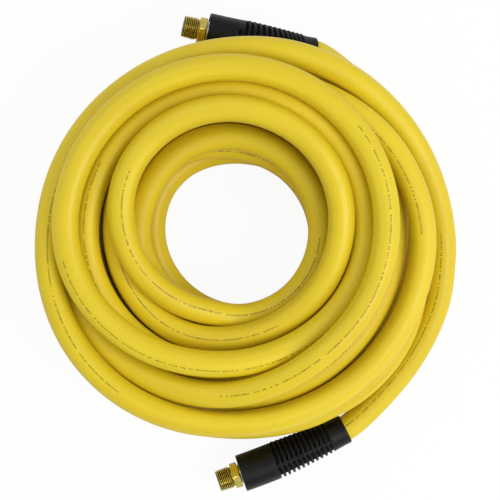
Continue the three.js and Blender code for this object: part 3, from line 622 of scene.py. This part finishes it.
def hose_piece(name, start, end, step=2.5, bore_step=8.0):
    """a closed length of hose, wall and bore, between two arc lengths"""
    wall_rows, bore_rows = (max(2, int(math.ceil((end - start) / spacing)) + 1)
                            for spacing in (step, bore_step))
    bore_base = wall_rows * WALL_SIDES
    verts, coords, faces = [], [], []
    for rows, sides, base in ((wall_rows, WALL_SIDES, 0), (bore_rows, BORE_SIDES, bore_base)):
        is_bore = base > 0
        arcs = np.linspace(start, end, rows)
        centre, side, up, roll = section_at(arcs)
        angle = circle(sides)
        phi = angle[None, :] - roll[:, None]
        radius = np.full((rows, sides), BORE_R) if is_bore else wall_radius(arcs, phi, centre)
        verts.append(rings(centre, side, up, radius, angle))
        coords.append(straightened(radius, phi, arcs))
        faces += grid_faces(rows, sides, base, flip=is_bore)
    # ring faces at both ends: each bore side faces two sides of the wall
    last_wall = (wall_rows - 1) * WALL_SIDES
    last_bore = bore_base + (bore_rows - 1) * BORE_SIDES
    for wall, bore, flip in ((0, bore_base, True), (last_wall, last_bore, False)):
        for k in range(BORE_SIDES):
            wall0, wall1, wall2 = (wall + (2 * k + i) % WALL_SIDES for i in range(3))
            bore0, bore1 = bore + k, bore + (k + 1) % BORE_SIDES
            for one, two, three in ((wall0, wall1, bore0), (wall1, wall2, bore1), (wall1, bore1, bore0)):
                faces.append([one, three, two] if flip else [one, two, three])
    # the section axes are left-handed along the hose, so turn every face outwards
    faces = [face[::-1] for face in faces]
    return make(name, np.concatenate(verts), faces, np.concatenate(coords), HOSE, sharp=50)


def build_hose_end(end):
    """the pieces of a free end, cut outward from the coil; gives the arc length where they start"""
    key, count = end.key, len(end.hinges)
    hinges = [arc_of(point) for point in end.hinges]
    replaced = ([[f"link_{i}"] for i in range(1, count)]
                + [[], ["in_tail"], ["in_ribs_1"], ["in_ribs_2", "in_ferrule"]])
    reach = min(12.0, abs(end.arc_at(0) - hinges[-1]) - 0.5)
    cuts = [hinges[0] - end.sign * abs(hinges[1] - hinges[0]) / 2]
    cuts += [(hinges[i] + hinges[i + 1]) / 2 for i in range(count - 1)]
    cuts += [hinges[-1] + end.sign * reach]
    cuts += [end.arc_at(along) for along in (*SPLIT_AT, HOSE_END)]
    for i, (near, far) in enumerate(zip(cuts, cuts[1:])):
        piece = hose_piece(f"hose_{key}_bend_{i + 1}", min(near, far), max(near, far), 2.0, 6.0)
        if i < count:                   # in the open: a span 1.2 mm in from each end of the piece; nothing bends the piece
            span = near + end.sign * 1.2, far - end.sign * 1.2
        else:                           # in the sleeve: the span of its flex zone; nothing bends the piece
            flex = FLEX_AT[i - count]
            span = end.arc_at(flex - FLEX_HALF), end.arc_at(flex + FLEX_HALF)
        first, last = mm(section_at(np.array(span))[0])
        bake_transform(piece)
        for node in replaced[i]:
            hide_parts(f"hose_{key}_{node}")
    return cuts[0]


coil = hose_piece("hose_coiled", *[build_hose_end(end) for end in ENDS])
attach(coil, "coil")
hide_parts("hose_coil")


# ------------------------------------------------------------------ bend restrictors
SLEEVE_SIDES = 176
SLOT_HALF, SLOT_END_GAP, SLOT_HOOK = 0.98, 1.55, 0.55   # half width; gap to a ridge; turn at the ends
RIB_CROWN, RIDGE_HEIGHT = 0.30, 0.50
GATE_AT, WAIST_AT = 64.8, 61.2


def sleeve_base(along):
    taper = TAIL_R + (along - TAIL_BAND) / 58 * (COLLAR_R - TAIL_R)
    return np.where(along < TAIL_BAND, TAIL_R, np.minimum(COLLAR_R, taper))


def sleeve_surface(along, phi):
    """outer radius of the restrictor; phi 0 is the gate mark, ridges run at 60, 180 and 300 degrees"""
    radius = sleeve_base(along)
    from_ridge = 60 - np.abs(np.degrees(phi + math.pi / 3) % 120 - 60)      # degrees
    ridge_gap = from_ridge * math.pi / 180 * radius                         # mm
    zone = smooth((along - (SLOT_FIRST - 3.4)) / 1.2) * smooth(((SLOT_LAST + 3.2) - along) / 1.2)
    depth = np.minimum(2.3, (radius - 10.35) * 0.68)
    place = (along - SLOT_FIRST) / SLOT_PITCH
    slot = np.round(place)
    off = (place - slot) * SLOT_PITCH                                # mm from the nearest slot's middle
    slotted = (slot >= 0) & (slot <= SLOTS - 1)
    # the slots turn a little towards the mouth at their ends, beside a ridge
    run = ridge_gap - SLOT_END_GAP                                   # mm of slot left before its end
    off = off - SLOT_HOOK * smooth(1 - run / 3.0)
    to_slot = np.where(run > SLOT_HALF, np.abs(off), np.hypot(off, np.minimum(run - SLOT_HALF, 0)))
    cut = smooth((SLOT_HALF + 0.28 - to_slot) / 0.62)
    radius = radius - np.where(slotted, cut, 0) * depth
    # each rib is crowned, so the edges of the slots are rounded
    crown = -RIB_CROWN * np.cos(np.pi * np.clip(off / SLOT_PITCH * 2, -1, 1))
    radius = radius + np.where(slotted, zone * (0.12 + crown * (1 - cut)) * 0.9, 0)
    # raised ridge along each row of slot ends
    radius = radius + smooth((1.15 - ridge_gap) / 0.7) * zone * RIDGE_HEIGHT
    # mould gate: an oval dimple with a raised rim, where the collar meets the ribs
    around = ((np.degrees(phi) + 180) % 360 - 180) * math.pi / 180 * radius
    gate = np.hypot((along - GATE_AT) / 2.0, around / 3.0)
    radius = radius - 1.7 * smooth((1.0 - gate) / 0.45) + 0.40 * np.exp(-((gate - 1.24) / 0.20) ** 2)
    # shallow waist behind the collar
    radius = radius - 0.22 * np.exp(-((along - WAIST_AT) / 0.8) ** 2)
    # rounded tail and mouth edges
    for distance, length, drop in ((along, 1.4, 1.0), (SLEEVE_LEN - along, 0.9, 0.6)):
        edge = np.clip(1 - distance / length, 0, 1)
        radius = radius - drop * (1 - np.sqrt(np.clip(1 - edge ** 2, 0, 1)))
    return radius


def lathe(end, name, profile, material, sides, sharp, straight=False, painted_shade=None):
    """closed body of rings along a sleeve's axis. profile: list of (along, radius), where the radius
    is a number or a function of the angle. straight holds the section square to the mouth, for the
    rigid metal parts."""
    along = np.array([row[0] for row in profile], float)
    angle = circle(sides)
    radius = np.zeros((len(along), sides))
    for i, (_, value) in enumerate(profile):
        radius[i] = value(angle) if callable(value) else value
    if straight:
        tangents = end.direction(SLEEVE_LEN)[None].repeat(len(along), 0)
        centre = end.axis(MOUTH) + (along - MOUTH)[:, None] * tangents
    else:
        tangents = np.array([end.direction(v) for v in along])
        centre = np.array([end.axis(v) for v in along])
    verts = rings(centre, *section_axes(tangents), radius, angle)
    faces = np.array(grid_faces(len(along), sides, closed_rows=True))
    corners = [verts[faces[:, i]] for i in range(4)]
    volume = sum(np.einsum("ij,ij->i", corners[0], np.cross(corners[i], corners[i + 1])).sum()
                 for i in (1, 2))
    if volume < 0:                      # turn the faces outwards
        faces = faces[:, ::-1]
    # painted shade share for each point, when a function for it is given
    shade_amount = None if painted_shade is None else painted_shade(along[:, None], radius)
    return make(name, verts, faces.tolist(), straightened(radius, angle, along), material, sharp, shade_amount)


def sleeve_row_step(along):
    if along < 1.4 or along > SLEEVE_LEN - 1.1:
        return 0.16
    return 0.24 if 12 < along < 68.5 else 0.9


def sleeve_painted_shade(along, radius):
    # painted shade share: it rises with depth in the slotted zone and is full in the bore and on faces under 11.5 mm
    # elsewhere
    shade_amount = np.clip((sleeve_base(along) - 0.15 - radius) / 1.3, 0, 1)
    return np.where((along > 9) & (along < 68), shade_amount, np.where(radius < 11.5, 1.0, 0.0))


def sleeve_piece(end, name, start, stop):
    rows = [start]
    while rows[-1] < stop - 1e-6:
        rows.append(min(stop, rows[-1] + sleeve_row_step(rows[-1])))
    if len(rows) > 2 and rows[-1] - rows[-2] < 0.05:
        rows.pop(-2)
    profile = [(row, lambda angle, row=row: sleeve_surface(np.full_like(angle, row), angle - end.gate))
               for row in rows]
    if stop == MOUTH:                   # the recess that takes the ferrule
        seat = MOUTH - FERRULE_LEN
        profile += [(MOUTH, 13.35), (MOUTH - 0.35, 12.9), (MOUTH - 1.2, 12.75), (MOUTH - 14, 12.72),
                    (seat - 0.5, 12.72), (seat - 0.9, 12.4), (seat - 1.4, 10.3),
                    (MOUTH - 34, SLEEVE_BORE_R)]
    else:
        profile += [(stop, SLEEVE_BORE_R)]
    if start == 0:                      # rounded lip between the bore and the tail face
        profile += [(TAIL_BAND, SLEEVE_BORE_R), (1.2, SLEEVE_BORE_R), (0.5, 10.22), (0.0, 10.75)]
    else:
        profile += [(start, SLEEVE_BORE_R)]
    return lathe(end, name, profile, BLACK, SLEEVE_SIDES, sharp=66, painted_shade=sleeve_painted_shade)


def build_sleeve(end):
    key = end.key
    cuts = [0.0, *SPLIT_AT, SLEEVE_LEN]
    for i, replaced in enumerate((("tail",), ("ribs_1",), ("ribs_2", "collar"))):
        piece = sleeve_piece(end, f"sleeve_{key}_part_{i + 1}", cuts[i], cuts[i + 1])
        first, last = (tuple(mm(end.axis(FLEX_AT[i] + reach))) for reach in (-FLEX_HALF, FLEX_HALF))
        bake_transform(piece)
        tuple(first)
        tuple(last)
        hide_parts(*[f"restrictor_{key}_{node}" for node in replaced])


for end in ENDS:
    build_sleeve(end)


# ------------------------------------------------------------------ ferrules and brass ends
def from_mouth(*rows):
    """profile rows given as (distance past the sleeve's mouth, radius)"""
    return [(MOUTH + offset, radius) for offset, radius in rows]


def ferrule(end):
    back = MOUTH - FERRULE_LEN
    profile = [(back, 11.2), (back + 0.3, 11.9), (back + 0.9, 12.35)]
    for band in (MOUTH - 21.5, MOUTH - 14.0, MOUTH - 6.5):       # three crimped bands
        profile += [(band - 2.4, 12.4), (band - 1.9, 12.25), (band - 1.6, 12.02),
                    (band + 1.6, 12.02), (band + 1.9, 12.25), (band + 2.4, 12.4)]
    profile += from_mouth((-2.2, 12.4), (-1.7, 12.33), (-1.3, 12.12), (-1.08, 11.75), (-1.0, 11.2),
                          (-1.0, 10.0), (-1.2, 9.2), (-1.2, 8.4), (-0.7, 8.1), (0.9, 7.9), (0.8, 7.6),
                          (0.5, 7.3), (-2.2, 7.3), (-2.6, 7.6), (-2.6, 10.6))
    profile += [(back, 10.45)]
    return lathe(end, f"crimp_ferrule_{end.key}", profile, ZINC, 96, sharp=40, straight=True)


HEX_START = MOUTH + 1.3
HEX_STOP = MOUTH + 1.3 + HEX_LEN
THREAD_START = HEX_STOP + 0.9
TIP = THREAD_START + THREAD_PITCH * THREAD_CRESTS


def hex_radius(along):
    """the hexagon, with a 30 degree chamfer turned on both ends"""
    cone = HEX_AF / 2 - 0.15 + 1.75 * min(along - HEX_START, HEX_STOP - along)

    def radius(angle):
        folded = ((angle + math.pi / 6) % (math.pi / 3)) - math.pi / 6
        flat = HEX_AF / 2 / np.cos(folded)
        corner = HEX_AF / 2 / math.cos(math.pi / 6) - 0.22       # corners just broken
        soft = -np.log(np.exp(-flat * 9) + np.exp(-(corner + 0.12) * 9)) / 9
        return np.minimum(soft, cone)
    return radius


def crest_radius(along):
    return THREAD_END_R + (THREAD_TIP_R - THREAD_END_R) * (along - THREAD_START) / (TIP - THREAD_START)


def thread_radius(along):
    crest = crest_radius(along)
    run_in = min(1.0, (along - THREAD_START) / 1.6)              # the die's run-out beside the hexagon
    cap = 7.75 + (TIP - along) * 0.8                             # chamfer at the tip

    def radius(angle):
        turn = (along / THREAD_PITCH + angle / (2 * math.pi)) % 1.0
        height = 1 - np.abs(2 * turn - 1)                        # 0 at the root, 1 at the crest
        height = np.clip((height - 0.10) / 0.80, 0, 1)
        cut = crest - THREAD_DEPTH * (1 - height)
        return np.minimum(np.minimum(cut, 7.5 + (crest - 7.5) * run_in), cap)
    return radius


def fitting_painted_shade(along, radius):
    # painted shade share: it rises into the thread roots, is 0.6 on the necks beside the hexagon and 0.55 in the bore
    root = np.clip((crest_radius(along) - 0.12 - radius) / (THREAD_DEPTH - 0.2), 0, 1)
    beside_hex = (along < MOUTH + 1.25) | (along > HEX_STOP + 0.1)
    outside = np.where((along >= THREAD_START) & (along <= TIP), root, np.where(beside_hex, 0.6, 0.0))
    return np.maximum((radius < 5.2) * 0.55, outside)


def fitting(end):
    profile = from_mouth((-24, 4.9), (-23.2, 5.4), (-22, 5.7))
    for barb in (MOUTH - 19, MOUTH - 15, MOUTH - 11):
        profile += [(barb, 5.75), (barb + 0.3, 5.3), (barb + 2.2, 5.5)]
    profile += from_mouth((-7, 5.75), (-3.5, 5.75), (-3.2, 6.3), (-2.9, 6.6))
    profile += [(HEX_START - 0.4, 6.6), (HEX_START - 0.1, 6.75), (HEX_START, 7.1)]
    chamfer = (0, 0.15, 0.3, 0.45, 0.6, 0.75, 0.95)
    for offset in (*chamfer, 2.2, 3.5, 4.8, *[HEX_LEN - v for v in reversed(chamfer)]):
        profile.append((HEX_START + offset, hex_radius(HEX_START + offset)))
    profile += [(HEX_STOP, 8.35), (HEX_STOP + 0.12, 7.85), (HEX_STOP + 0.3, 7.6), (HEX_STOP + 0.8, 7.5)]
    rows = THREAD_CRESTS * 12
    for i in range(rows + 1):
        along = THREAD_START + (TIP - THREAD_START) * i / rows
        profile.append((along, thread_radius(along)))
    profile += [(TIP, 6.9), (TIP, 5.35), (TIP - 0.25, 5.0), (TIP - 0.6, TIP_BORE_R),
                (TIP - 6, TIP_BORE_R)]
    profile += from_mouth((0, TIP_BORE_R), (-3, 4.1), (-24, 4.1))
    return lathe(end, f"brass_male_end_{end.key}", profile, BRASS, 240, sharp=28, straight=True,
                 painted_shade=fitting_painted_shade)


brass_ends = []
for end in ENDS:
    for build, slot in ((ferrule, "ferrule"), (fitting, "fitting")):
        part = build(end)
        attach(part, f"end_{end.key}")
        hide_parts(f"{slot}_{end.key}")
    brass_ends.append(part)


# ------------------------------------------------------------------ floor, light, camera; metres
def floor(half=6.0, z=-0.0009):
    mesh = bpy.data.meshes.new("floor")
    mesh.from_pydata([(-half, -half, z), (half, -half, z), (half, half, z), (-half, half, z)], [],
                     [(0, 1, 2, 3)])
    material, nodes = new_material("white_floor")
    coords = nodes.wired("ShaderNodeTexCoord", "Object", {})
    tone = nodes.mix(nodes.noise(coords, scale=3.0, detail=2.0), (0.93, 0.93, 0.93, 1), (0.95, 0.95, 0.95, 1))
    paper = nodes.principled(Base_Color=tone, Roughness=0.9, Specular_IOR_Level=0.1)
    # the paper glows to the camera only, as an overexposed white sweep does
    glow = nodes.wired("ShaderNodeEmission", 0, {"Strength": 1.0})
    share = nodes.scaled(nodes.camera_ray(), by=0.93)
    nodes.output(nodes.blend_shaders(share, paper, glow))
    mesh.materials.append(material)
    link_object("floor", mesh)


def studio_world():
    world = bpy.data.worlds.new("studio")
    bpy.context.scene.world = world
    world.use_nodes = True
    nodes = Nodes(world.node_tree)
    # the first strength lights the scene, the second is what the camera sees
    lit, seen = (nodes.wired("ShaderNodeBackground", 0, {"Color": (1, 1, 1, 1), "Strength": strength})
                 for strength in (0.60, 1.0))
    nodes.output(nodes.blend_shaders(nodes.camera_ray(), lit, seen), "ShaderNodeOutputWorld")


def softbox(name, place, size, power, aim=(0, 0, 0.03)):
    data = bpy.data.lights.new(name, "AREA")
    data.shape = "RECTANGLE"
    data.size, data.size_y = size
    data.energy = power
    light = bpy.data.objects.new(name, data)
    light.location = place
    light.rotation_mode = "QUATERNION"
    light.rotation_quaternion = (Vector(aim) - Vector(place)).to_track_quat("-Z", "Y")
    bpy.context.scene.collection.objects.link(light)
    return light


def lights():
    # the spark lights only the brass ends
    spark = softbox("spark", place=(0.10, -0.34, 1.50), size=(0.40, 0.30), power=5.0)
    metal = bpy.data.collections.new("metal_parts")
    bpy.context.scene.collection.children.link(metal)
    for part in brass_ends:
        metal.objects.link(part)
    spark.light_linking.receiver_collection = metal
    softbox("key", place=(1.08, -0.50, 1.40), size=(1.2, 1.0), power=18.0)
    softbox("fill", place=(-0.85, 0.8, 1.5), size=(1.4, 1.2), power=6.5)


def camera():
    """looks straight down"""
    data = bpy.data.cameras.new("camera")
    data.sensor_width = 36.0
    data.lens = 117.0
    data.clip_start, data.clip_end = 0.05, 50.0
    view = link_object("camera", data)
    view.location = (0.0047, 0.00312, 1.300)
    bpy.context.scene.camera = view
    bpy.context.scene.view_settings.view_transform = "Standard"


floor()
studio_world()
lights()
camera()
